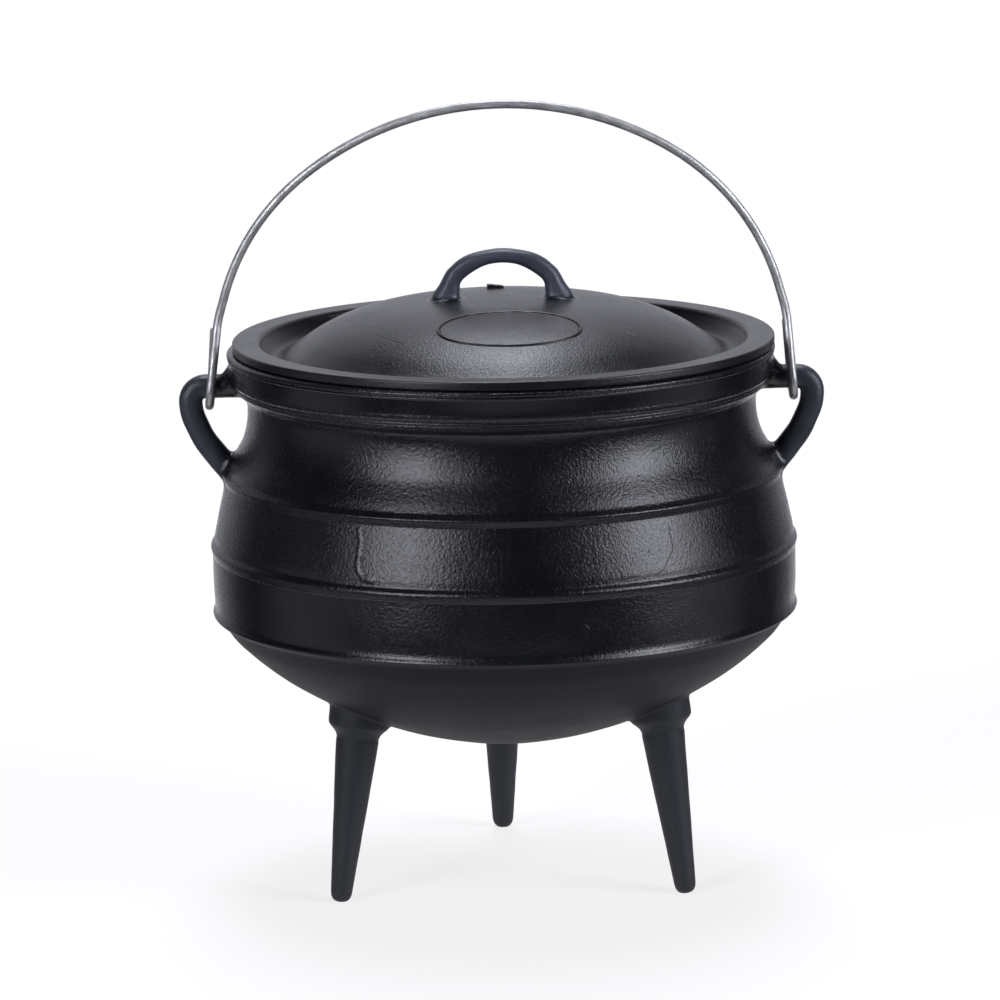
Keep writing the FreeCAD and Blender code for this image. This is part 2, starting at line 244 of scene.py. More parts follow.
def wall_dist(p):
    """Distance outside the wall, near the shoulder, neck and collar."""
    r = np.hypot(p[:, 0], p[:, 1])
    z = p[:, 2]
    R = np.interp(z, _up[:, 1], _up[:, 0])
    s = (np.interp(z + 0.8, _up[:, 1], _up[:, 0]) - np.interp(z - 0.8, _up[:, 1], _up[:, 0])) / 1.6
    return (r - R) / np.sqrt(1 + s * s)


def bowl_dist(p):
    """Distance below the bowl."""
    r = np.hypot(p[:, 0], p[:, 1])
    Z = np.interp(r, _bowl[:, 0], _bowl[:, 1])
    s = (np.interp(r + 0.8, _bowl[:, 0], _bowl[:, 1]) - np.interp(np.maximum(r - 0.8, 0), _bowl[:, 0], _bowl[:, 1])) / 1.6
    return (Z - p[:, 2]) / np.sqrt(1 + s * s)


# ---------------------------------------------------------------- mesh makers
def make_object(name, V, quads, tris=None, uv=None):
    me = bpy.data.meshes.new(name)
    V = np.asarray(V, float)
    quads = np.asarray(quads, np.int64).reshape(-1, 4)
    tris = np.zeros((0, 3), np.int64) if tris is None else np.asarray(tris, np.int64).reshape(-1, 3)
    used = np.zeros(len(V), bool)
    used[quads.ravel()] = True
    used[tris.ravel()] = True
    renum = np.cumsum(used) - 1
    V, quads, tris = V[used], renum[quads], renum[tris]
    me.vertices.add(len(V))
    me.vertices.foreach_set("co", (V * 0.001).astype(np.float32).ravel())
    loops = np.concatenate([quads.ravel(), tris.ravel()]).astype(np.int32)
    me.loops.add(len(loops))
    me.loops.foreach_set("vertex_index", loops)
    n = len(quads) + len(tris)
    me.polygons.add(n)
    starts = np.concatenate([np.arange(len(quads)) * 4, 4 * len(quads) + np.arange(len(tris)) * 3])
    me.polygons.foreach_set("loop_start", starts.astype(np.int32))
    me.polygons.foreach_set("use_smooth", np.ones(n, bool))
    me.update(calc_edges=True)
    if uv is not None:
        layer = me.uv_layers.new(name="along")
        layer.data.foreach_set("uv", np.asarray(uv, np.float32)[used][loops].ravel())
    me.validate()
    ob = bpy.data.objects.new(name, me)
    bpy.context.scene.collection.objects.link(ob)
    return ob


class Parts:
    """Gathers pieces of one mesh."""

    def __init__(self):
        self.V, self.Q, self.T, self.n = [], [], [], 0

    def add(self, V, quads=None, tris=None):
        if quads is not None and len(quads):
            self.Q.append(np.asarray(quads) + self.n)
        if tris is not None and len(tris):
            self.T.append(np.asarray(tris) + self.n)
        self.V.append(np.asarray(V, float))
        self.n += len(V)

    def object(self, name):
        V = np.concatenate(self.V)
        Q = np.concatenate(self.Q) if self.Q else np.zeros((0, 4), np.int64)
        T = np.concatenate(self.T) if self.T else None
        return make_object(name, V, Q, T)


def turned(rows, dirs, n, skin=None, centre=(0.0, 0.0), flip=False):
    """Vertices, quads and tris of a profile turned about Z. The first row may be on the axis."""
    th = np.linspace(0, 2 * np.pi, n, endpoint=False)
    pole = rows[0, 0] < 1e-6
    start = 1 if pole else 0
    R, Z = rows[start:, 0], rows[start:, 1]
    nr, nz = dirs[start:, 1], -dirs[start:, 0]
    P = np.stack([np.outer(R, np.cos(th)), np.outer(R, np.sin(th)), np.repeat(Z[:, None], n, 1)], -1)
    N = np.stack([np.outer(nr, np.cos(th)), np.outer(nr, np.sin(th)), np.repeat(nz[:, None], n, 1)], -1)
    V = P.reshape(-1, 3) + [centre[0], centre[1], 0]
    N = N.reshape(-1, 3)
    if flip:
        N = -N
    if skin is not None:
        V = V + N * skin(V)[:, None]
    m = len(R)
    i = np.arange(m - 1)[:, None] * n
    j = np.arange(n)[None, :]
    j2 = (j + 1) % n
    Q = np.stack([i + j, i + j2, i + n + j2, i + n + j], -1).reshape(-1, 4)
    T = None
    if pole:
        c = np.array([[centre[0], centre[1], rows[0, 1]]])
        nn = np.array([[0, 0, -1.0]]) * (-1 if flip else 1) * np.sign(dirs[0, 0])
        if skin is not None:
            c = c + nn * skin(c)[:, None]
        V = np.concatenate([V, c])
        T = np.stack([np.full(n, len(V) - 1), j2[0], j[0]], -1)
    if flip:
        Q = Q[:, ::-1]
        T = None if T is None else T[:, ::-1]
    return V, Q, T


def surface_nets(F):
    """Quads round the zero of a grid of distances, negative inside."""
    S = F < 0
    n = S.astype(np.int8)
    c = sum(n[a:n.shape[0] - 1 + a, b:n.shape[1] - 1 + b, d:n.shape[2] - 1 + d]
            for a in (0, 1) for b in (0, 1) for d in (0, 1))
    act = (c > 0) & (c < 8)
    ijk = np.argwhere(act)
    acc = np.zeros((len(ijk), 3))
    cnt = np.zeros(len(ijk))
    corners = [np.array(x) for x in np.ndindex(2, 2, 2)]
    for a in corners:
        for ax in range(3):
            if a[ax]:
                continue
            b = a.copy()
            b[ax] = 1
            fa = F[tuple((ijk + a).T)]
            fb = F[tuple((ijk + b).T)]
            m = (fa < 0) != (fb < 0)
            t = np.where(m, fa / np.where(m, fa - fb, 1.0), 0.0)
            acc += m[:, None] * (a + t[:, None] * (b - a))
            cnt += m
    V = ijk + acc / cnt[:, None]
    index = -np.ones(act.shape, np.int64)
    index[tuple(ijk.T)] = np.arange(len(ijk))
    quads = []
    for ax in range(3):
        u, v = (ax + 1) % 3, (ax + 2) % 3
        A = np.moveaxis(S, (ax, u, v), (0, 1, 2))
        I = np.moveaxis(index, (ax, u, v), (0, 1, 2))
        e = np.argwhere(A[:-1, 1:-1, 1:-1] != A[1:, 1:-1, 1:-1])
        i, j, k = e[:, 0], e[:, 1] + 1, e[:, 2] + 1
        q = np.stack([I[i, j - 1, k - 1], I[i, j, k - 1], I[i, j, k], I[i, j - 1, k]], 1)
        inside = A[i, j, k]
        q[~inside] = q[~inside][:, ::-1]
        quads.append(q)
    return V, np.concatenate(quads)


def smin(a, b, k):
    h = np.maximum(k - np.abs(a - b), 0) / k
    return np.minimum(a, b) - h * h * k / 4


def grown(feature, body, k, lo, hi, cell, origin=None, axes=None, sink=0.07, reach=1.2, skin=cast_skin):
    """A cast feature that flows into the body it stands on. feature and body give distances,
    k is the size of the fillet. The skirt of the fillet dips just under the body's own surface."""
    o = np.zeros(3) if origin is None else np.asarray(origin, float)
    B = np.eye(3) if axes is None else np.asarray(axes, float)
    lo, hi = np.asarray(lo, float), np.asarray(hi, float)
    n = np.ceil((hi - lo) / cell).astype(int) + 1
    g = np.stack(np.meshgrid(*[lo[i] + cell * np.arange(n[i]) for i in range(3)], indexing="ij"), -1)

    def field(p):
        a, b = feature(p), body(p)
        f = smin(a, b, k) - skin(p)
        return f + sink * smooth01((a - 0.93 * k) / (0.07 * k + reach)), a

    p = g.reshape(-1, 3) @ B + o
    F = field(p)[0].reshape(g.shape[:3])
    V, Q = surface_nets(F)
    V = (lo + V * cell) @ B + o
    h = 0.06
    for _ in range(3):
        f = field(V)[0]
        gr = np.stack([(field(V + e)[0] - field(V - e)[0]) / (2 * h) for e in np.eye(3) * h], 1)
        g2 = np.maximum((gr ** 2).sum(1), 0.2)
        V = V - gr * np.clip(f / g2, -0.5 * cell, 0.5 * cell)[:, None]
    a = field(V)[1]
    keep = (a[Q] < k + reach).all(1)
    return V, Q[keep]


# ------------------------------------------------------------------ the ears
EAR_Z = 239.7


def path_arcs(pts, radii, per=0.6):
    """Fine points of straight runs joined by tangent arcs."""
    P = [np.array(q, float) for q in pts]
    out = [P[0]]
    for i in range(1, len(P) - 1):
        a, b, c = P[i - 1], P[i], P[i + 1]
        u = (a - b) / np.linalg.norm(a - b)
        w = (c - b) / np.linalg.norm(c - b)
        half = math.acos(np.clip(u @ w, -1, 1)) / 2
        r = radii[i - 1]
        d = r / math.tan(half)
        m = (u + w) / np.linalg.norm(u + w)
        ctr = b + m * (r / math.sin(half))
        p1, p2 = b + u * d, b + w * d
        turn = math.pi - 2 * half
        n = max(3, int(r * turn / per) + 1)
        e1 = (p1 - ctr) / r
        e2 = (p2 - ctr) / r
        e2 = e2 - (e2 @ e1) * e1
        e2 /= np.linalg.norm(e2)
        for t in np.linspace(0, turn, n):
            out.append(ctr + r * (e1 * math.cos(t) + e2 * math.sin(t)))
    out.append(P[-1])
    Q = [out[0]]
    for q in out[1:]:
        L = np.linalg.norm(q - Q[-1])
        if L < 1e-5:
            continue
        m = int(L / per) + 1
        base = Q[-1]
        for j in range(1, m + 1):
            Q.append(base + (q - base) * j / m)
    return np.array(Q)


def polyline_dist(p, L, chunk=60000):
    """Distance to a plane curve given by fine points, and where along it."""
    d = np.empty(len(p))
    at = np.empty(len(p))
    for s in range(0, len(p), chunk):
        q = p[s:s + chunk]
        best = np.full(len(q), 1e9)
        pos = np.zeros(len(q))
        for i in range(len(L) - 1):
            a, ab = L[i], L[i + 1] - L[i]
            t = np.clip(((q - a) @ ab) / (ab @ ab), 0, 1)
            e = ((q - a - t[:, None] * ab) ** 2).sum(1)
            m = e < best
            best[m] = e[m]
            pos[m] = i + t[m]
        d[s:s + chunk] = np.sqrt(best)
        at[s:s + chunk] = pos
    return d, at


def ear_maker(side):
    pts = [(112.0, 239.7), (147.9, 239.7), (146.9, 226.6), (141.4, 214.2), (133.2, 203.6), (125.5, 196.6)]
    L = path_arcs(pts, [7.2, 24.0, 30.0, 30.0], 1.6)
    frac = np.linspace(0, 1, len(L))

    def feature(p):
        q = np.stack([p[:, 0] * side, p[:, 2]], 1)
        e, at = polyline_dist(q, L)
        u = at / (len(L) - 1)
        # a slightly squared round bar, a little fuller towards its lower root
        w = 5.62 + 0.5 * smooth01((u - 0.72) / 0.28)
        y = np.abs(p[:, 1])
        m = 2.35
        d = (e ** m + (y * 1.02) ** m) ** (1 / m)
        lump = 0.16 * noise(p, 12.0, 5)
        a = d - w - lump
        # the gusset on top where the bar leaves the collar
        g = np.stack([p[:, 0] * side - 129.2, p[:, 1], p[:, 2] - 242.2], 1)
        gus = np.sqrt((g[:, 0] / 3.4) ** 2 + (g[:, 1] / 6.6) ** 2 + (g[:, 2] / 5.4) ** 2)
        return smin(a, (gus - 1) * 3.6, 1.6)

    return feature


# ------------------------------------------------------------------ the legs
LEG_FOOT_R, LEG_TOP_R, LEG_TOP_Z, LEG_YAW = 94.6, 82.6, 82.0, 1.8
LEG_LINE = np.array([(0.0, -0.25), (1.5, -0.2), (2.9, 0.25), (4.0, 1.15), (4.75, 2.6), (5.1, 4.4), (5.25, 6.6), (10.15, 76.6),
                     (10.2, 77.4), (10.0, 78.0), (10.15, 79.0), (10.8, 80.7), (12.3, 82.5), (13.7, 83.8), (14.45, 85.0),
                     (14.6, 86.6), (14.6, 112.0), (0.0, 112.0)])


def polygon_dist(x, y, L):
    best = np.full(len(x), 1e9)
    inside = np.zeros(len(x), bool)
    for i in range(len(L)):
        a, b = L[i], L[(i + 1) % len(L)]
        e = b - a
        wx, wy = x - a[0], y - a[1]
        t = np.clip((wx * e[0] + wy * e[1]) / (e @ e), 0, 1)
        best = np.minimum(best, (wx - e[0] * t) ** 2 + (wy - e[1] * t) ** 2)
        c = ((a[1] > y) != (b[1] > y)) & (x < (b[0] - a[0]) * (y - a[1]) / (b[1] - a[1] + 1e-12) + a[0])
        inside ^= c
    d = np.sqrt(best)
    return np.where(inside, -d, d)


def leg_maker(angle):
    a = math.radians(angle)
    foot = np.array([LEG_FOOT_R * math.cos(a), LEG_FOOT_R * math.sin(a), 0.0])
    top = np.array([LEG_TOP_R * math.cos(a), LEG_TOP_R * math.sin(a), LEG_TOP_Z])
    ez = (top - foot) / np.linalg.norm(top - foot)
    ex = np.array([math.cos(a), math.sin(a), 0.0])
    ex = ex - (ex @ ez) * ez
    ex /= np.linalg.norm(ex)
    ey = np.cross(ez, ex)
    axes = np.stack([ex, ey, ez])
    shrink = 0.35

    def feature(p):
        q = (p - foot) @ axes.T
        rho = np.hypot(q[:, 0], q[:, 1])
        # the two halves of the mould met along the leg: a faint flat and line on each side
        ang = np.arctan2(q[:, 1], q[:, 0])
        seam = 0.05 * np.exp(-((np.abs(np.abs(ang) - 1.32)) * rho / 0.55) ** 2) * smooth01((76 - q[:, 2]) / 6) * smooth01((q[:, 2] - 4) / 6)
        d = polygon_dist(rho, q[:, 2], LEG_LINE_IN) - shrink
        d = d - seam - 0.16 * noise(p, 10.0, 7)* smooth01((p[:, 2] - 0.5) / 5.0)
        return np.maximum(d, -p[:, 2])      # the small flat that it stands on

    return feature, foot, axes


def inset(L, t):
    """The leg's closed profile drawn in by t, for its corners to be rounded by t."""
    out = []
    n = len(L)
    for i in range(n):
        a, b, c = L[i - 1], L[i], L[(i + 1) % n]
        u = (b - a) / np.linalg.norm(b - a)
        v = (c - b) / np.linalg.norm(c - b)
        nu, nv = np.array([-u[1], u[0]]), np.array([-v[1], v[0]])
        m = (nu + nv) / (1 + nu @ nv)
        out.append(b + m * t)
    out = np.array(out)
    out[:, 0] = np.where(L[:, 0] < 1e-6, 0.0, out[:, 0])
    return out


LEG_LINE_IN = inset(LEG_LINE, 0.35)

# ------------------------------------------------------------------- the lid
LID_CX = 1.3


def dome_z(r):
    q = r / 0.955
    return 279.9 - 0.955 * (0.00059 * q * q + 14.62e-8 * q ** 4)


dome = [(r, dome_z(abs(r))) for r in (-32.0, -16.0, 0.0, 16.0, 32.0, 46.0, 58.0, 68.0, 77.0, 85.0, 92.0, 98.0)]
lid_top = dome + [(102.4, dome_z(102.4) + 0.35), (106.2, 252.85), (109.0, 252.9), (112.0, 255.2), (114.9, 259.1)]
lid_under = [(r, z) for r, z in offset_in(lid_top[2:], -4.5)]
lid_under[0] = (0.0, 279.9 - 4.5)
lid_under = lid_under[:-3] + [(109.4, 248.1), (112.6, 248.5), (115.6, 250.2)]
under_mirror = [(-r, z) for r, z in lid_under[3:0:-1]]
top_curve = right_half(spline(lid_top, 1600))
top_curve[0, 0] = 0.0
under_curve = right_half(spline(under_mirror + lid_under, 1400))
under_curve[0, 0] = 0.0
lid_parts = [
    top_curve,
    arc3((114.9, 259.1), (116.0, 260.75), (117.5, 261.3)),
    [(117.5, 261.3), (127.75, 261.3), (128.3, 260.75), (128.3, 257.55), (127.6, 256.84), (119.9, 256.84), (118.6, 253.4)],
    arc3((118.6, 253.4), (117.5, 251.6), (115.6, 250.2)),
    under_curve[::-1],
]
lid_line = fine_line(lid_parts, 0.1, 0.22)
lid_line[0, 0] = 0.0
lid_line[-1, 0] = 0.0


def dome_dist(p):
    r = np.hypot(p[:, 0] - LID_CX, p[:, 1])
    s = -0.955 * (2 * 0.00059 * r / 0.955 ** 2 + 4 * 14.62e-8 * (r / 0.955) ** 3 / 0.955)
    return (p[:, 2] - dome_z(r)) / np.sqrt(1 + s * s)


# loop handle: an arch with splayed feet
def grip_line():
    R, turn, rs, to = 33.0, math.radians(40.0), 9.0, math.radians(78.0)
    zc = 299.85 - R
    x1, z1 = R * math.sin(turn), zc + R * math.cos(turn)
    cx, cz = x1 - rs * math.sin(turn), z1 - rs * math.cos(turn)
    half = [(R * math.sin(t), zc + R * math.cos(t)) for t in np.linspace(0, turn, 16)]
    half += [(cx + rs * math.sin(t), cz + rs * math.cos(t)) for t in np.linspace(turn, to, 9)[1:]]
    x2, z2 = half[-1]
    drop = z2 - 275.0
    half += [(x2 + drop * f / math.tan(to), z2 - drop * f) for f in np.linspace(0, 1, 6)[1:]]
    left = [(-x, z) for x, z in half[:0:-1]]
    return np.array(left + half)


GRIP = grip_line()


def grip_dist(p):
    x, y, z = p[:, 0] - LID_CX, p[:, 1], p[:, 2]
    e, at = polyline_dist(np.stack([x, z], 1), GRIP)
    # an oval section, a little fuller outside
    ax = np.abs(x)
    ht = 3.35 + 0.95 * smooth01((ax - 5.0) / 14.0) - 0.3 * smooth01((ax - 21.0) / 3.0)
    m = 2.5
    d = ((e / ht) ** m + (np.abs(y) / 4.8) ** m) ** (1 / m)
    a = (d - 1) * 4.1 - 0.10 * noise(p, 13.0, 9)
    # wedge on the outer side of each foot
    w0, w1 = np.array([23.0, 290.0]), np.array([29.0, 280.6])
    ab = w1 - w0
    q = np.stack([ax, z], 1)
    t = np.clip(((q - w0) @ ab) / (ab @ ab), 0, 1)
    rad = 3.3 + 0.7 * t
    wd = np.sqrt(((q - w0 - t[:, None] * ab) ** 2).sum(1) + (y * 0.80) ** 2) - rad
    # low pad, and the upright inner cheek
    pad = np.sqrt(((ax - 27.0) / 6.6) ** 2 + (y / 6.3) ** 2 + ((z - 279.0) / 3.2) ** 2)
    pd = (pad - 1) * 3.6
    ck = np.sqrt(np.maximum(np.abs(ax - 23.9) - 0.6, 0) ** 2 + (y * 0.78) ** 2 + np.maximum(np.abs(z - 281.6) - 2.6, 0) ** 2) - 2.9
    return smin(smin(a, wd, 2.0), smin(pd, ck, 1.6), 1.4)


def stub_dist(p):
    """Broken-off stub of the pouring gate."""
    c = np.array([-3.4 + LID_CX, 33.2, dome_z(33.2) - 0.9])
    q = p - c
    q = np.stack([q[:, 0] * 0.996 + q[:, 1] * 0.087, q[:, 1] * 0.996 - q[:, 0] * 0.087, q[:, 2] + 0.12 * q[:, 0]], 1)
    b = np.abs(q) - np.array([3.7, 1.4, 2.2])
    out = np.sqrt((np.maximum(b, 0) ** 2).sum(1)) + np.minimum(b.max(1), 0)
    return out - 0.3 - 0.35 * noise(p, 2.6, 12)


# ------------------------------------------------------- relief on the surface
def ridge(pts, normals, half, height, ends=3.0, closed=False, sink=0.09, wob=0.0, seed=20, lopside=0.0):
    """A low raised line along points of a surface. Returns vertices and quads."""
    P, N = np.asarray(pts, float), np.asarray(normals, float)
    if closed:
        T = np.roll(P, -1, 0) - np.roll(P, 1, 0)
    else:
        T = np.gradient(P, axis=0)
    T /= np.linalg.norm(T, axis=1, keepdims=True)
    B = np.cross(N, T)
    B /= np.linalg.norm(B, axis=1, keepdims=True)
    L = np.r_[0, np.cumsum(np.linalg.norm(np.diff(P, axis=0), axis=1))]
    amp = np.ones(len(P)) if closed else smooth01(L / ends) * smooth01((L[-1] - L) / ends)
    if wob:
        amp = amp * (1 + wob * noise(P, 5.0, seed))
    u = np.linspace(-1, 1, 13)
    prof = (1 - u ** 2) ** 1.6 * (1 + lopside * u)
    rows = []
    for k, c in enumerate(u):
        h = height * amp * prof[k] - sink * (abs(c) ** 4)
        rows.append(P + B * (c * half) + N * h[:, None])
    V = np.stack(rows, 1)
    n, m = V.shape[:2]
    V = V.reshape(-1, 3)
    i = np.arange(n if closed else n - 1)[:, None]
    i2 = (i + 1) % n
    j = np.arange(m - 1)[None, :]
    Q = np.stack([i * m + j, i2 * m + j, i2 * m + j + 1, i * m + j + 1], -1).reshape(-1, 4)
    return V, Q


def on_wall(pts, step=0.5):
    """Points of the outer wall from (angle in degrees, height) pairs, with normals."""
    C = spline([(t * 2.4, z) for t, z in pts], 60)
    s = np.r_[0, np.cumsum(np.linalg.norm(np.diff(C, axis=0), axis=1))]
    t = np.linspace(0, s[-1], int(s[-1] / step) + 2)
    a = np.radians(np.interp(t, s, C[:, 0]) / 2.4)
    z = np.interp(t, s, C[:, 1])
    R = np.interp(z, _up[:, 1], _up[:, 0])
    k = (np.interp(z + 0.8, _up[:, 1], _up[:, 0]) - np.interp(z - 0.8, _up[:, 1], _up[:, 0])) / 1.6
    c = 1 / np.sqrt(1 + k * k)
    N = np.stack([np.cos(a) * c, np.sin(a) * c, -k * c], 1)
    P = np.stack([R * np.cos(a), R * np.sin(a), z], 1)
    return P + N * cast_skin(P)[:, None], N


def on_dome(xy, closed=False):
    """Points of the dome from plan positions relative to the lid's centre, with normals."""
    X = np.asarray(xy, float)
    r = np.hypot(X[:, 0], X[:, 1])
    s = -0.955 * (2 * 0.00059 * r / 0.955 ** 2 + 4 * 14.62e-8 * (r / 0.955) ** 3 / 0.955)
    c = 1 / np.sqrt(1 + s * s)
    N = np.stack([-s * c * X[:, 0] / r, -s * c * X[:, 1] / r, c], 1)
    P = np.stack([X[:, 0] + LID_CX, X[:, 1], dome_z(r)], 1)
    return P + N * cast_skin(P)[:, None], N


# ------------------------------------------------------------------- the bail
WIRE_R, HOOK_R, HOOK_X, LEAN = 2.07, 9.3, 138.5, math.radians(5.0)


def arch(x, h, ang, arcs):
    out = []
    for r, length in arcs:
        t = length / r
        cx, ch = x + r * math.sin(ang), h - r * math.cos(ang)
        for u in np.linspace(0, t, int(length / 1.0) + 2)[(1 if out else 0):]:
            out.append((cx - r * math.sin(ang - u), 0.0, ch + r * math.cos(ang - u)))
        x, h = out[-1][0], out[-1][2]
        ang -= t
    return out, x, h, ang


def bail_path():
    A0 = (-129.58, 44.88, math.radians(73.52))
    mid, ex, eh, ea = arch(*A0, [(112.1, 66.68), (150.8, 185.41), (114.7, 87.0)])

    def hook(x0, h0, dx, dh, side):
        t = (32.0 - h0) / dh
        s = math.tan(math.asin(HOOK_R / 32.0)) * (32.0 + HOOK_R)
        return [(x0, 0, h0), (x0 + dx * t, 0, 32.0), (side * HOOK_X, -s, -HOOK_R), (side * (HOOK_X - 0.3), s, -HOOK_R),
                (side * (HOOK_X - 3.3), 2.4, 27.5)]

    lp = hook(A0[0], A0[1], -math.cos(A0[2]), -math.sin(A0[2]), -1)
    rp = hook(ex, eh, math.cos(ea), math.sin(ea), 1)
    rad = [30.0, HOOK_R, HOOK_R]
    left = path_arcs(lp[::-1], rad[::-1], 0.7)
    right = path_arcs(rp, rad, 0.7)
    P = np.concatenate([left[:-1], np.array(mid), right[1:]])
    # even steps
    s = np.r_[0, np.cumsum(np.linalg.norm(np.diff(P, axis=0), axis=1))]
    t = np.linspace(0, s[-1], int(s[-1] / 0.62))
    P = np.stack([np.interp(t, s, P[:, k]) for k in range(3)], 1)
    c, sn = math.cos(LEAN), math.sin(LEAN)
    P = np.stack([P[:, 0], P[:, 1] * c - P[:, 2] * sn, P[:, 1] * sn + P[:, 2] * c + EAR_Z], 1)
    return P


def tube(P, radius, n):
    """A round tube on fine points with a steady frame, closed by domed ends."""
    T = np.gradient(P, axis=0)
    T /= np.linalg.norm(T, axis=1, keepdims=True)
    u = np.cross(T[0], [0, 1.0, 0.2])
    u /= np.linalg.norm(u)
    U = [u]
    for i in range(1, len(P)):
        u = U[-1] - (U[-1] @ T[i]) * T[i]
        U.append(u / np.linalg.norm(u))
    U = np.array(U)
    W = np.cross(T, U)
    ph = np.linspace(0, 2 * np.pi, n, endpoint=False)
    L = np.r_[0, np.cumsum(np.linalg.norm(np.diff(P, axis=0), axis=1))]
    ring = []
    D = U[:, None, :] * np.cos(ph)[None, :, None] + W[:, None, :] * np.sin(ph)[None, :, None]
    rr = np.full((len(P), n), radius)
    e = np.minimum(L, L[-1] - L)
    cap = np.sqrt(np.clip(1 - np.clip((1.0 - e) / 1.0, 0, 1) ** 2, 0.0, 1)) * 0.55 + 0.45
    rr = rr * cap[:, None]
    flat = (P[:, None, :] + D * rr[..., None]).reshape(-1, 3)
    Dn = D.reshape(-1, 3)
    flat = flat + Dn * (0.035 * noise(flat, 3.2, 30) + 0.03 * noise(flat, 9.0, 31))[:, None]
    V = flat
    m = len(P)
    i = np.arange(m - 1)[:, None] * n
    j = np.arange(n)[None, :]
    j2 = (j + 1) % n
    Q = np.stack([i + j, i + j2, i + n + j2, i + n + j], -1).reshape(-1, 4)
    uv = np.stack([np.repeat(L, n) / 100.0, np.tile(ph / (2 * np.pi), m)], 1)
    V = np.concatenate([V, [P[0] - T[0] * 0.25, P[-1] + T[-1] * 0.25]])
    uv = np.concatenate([uv, [[0, 0.5], [L[-1] / 100.0, 0.5]]])
    a = len(V) - 2
    T1 = np.stack([np.full(n, a), j2[0], j[0]], -1)
    T2 = np.stack([np.full(n, a + 1), (m - 1) * n + j[0], (m - 1) * n + j2[0]], -1)
    return V, Q, np.concatenate([T1, T2]), uv


# ------------------------------------------------------------------ materials
def nodes_of(name):
    mat = bpy.data.materials.new(name)
    mat.use_nodes = True
    nt = mat.node_tree
    return mat, nt, nt.nodes["Principled BSDF"]


def link(nt, a, b):
    nt.links.new(a, b)


def tex_noise(nt, co, scale, detail, rough=0.5, distort=0.0):
    n = nt.nodes.new("ShaderNodeTexNoise")
    n.inputs["Scale"].default_value = scale
    n.inputs["Detail"].default_value = detail
    n.inputs["Roughness"].default_value = rough
    n.inputs["Distortion"].default_value = distort
    link(nt, co, n.inputs["Vector"])
    return n


def ranged(nt, val, a, b, c, d, clamp=True):
    n = nt.nodes.new("ShaderNodeMapRange")
    n.clamp = clamp
    for k, v in zip(("From Min", "From Max", "To Min", "To Max"), (a, b, c, d)):
        n.inputs[k].default_value = v
    link(nt, val, n.inputs["Value"])
    return n.outputs["Result"]


def math2(nt, op, a, b):
    n = nt.nodes.new("ShaderNodeMath")
    n.operation = op
    for k, v in ((0, a), (1, b)):
        if isinstance(v, (int, float)):
            n.inputs[k].default_value = v
        else:
            link(nt, v, n.inputs[k])
    return n.outputs[0]


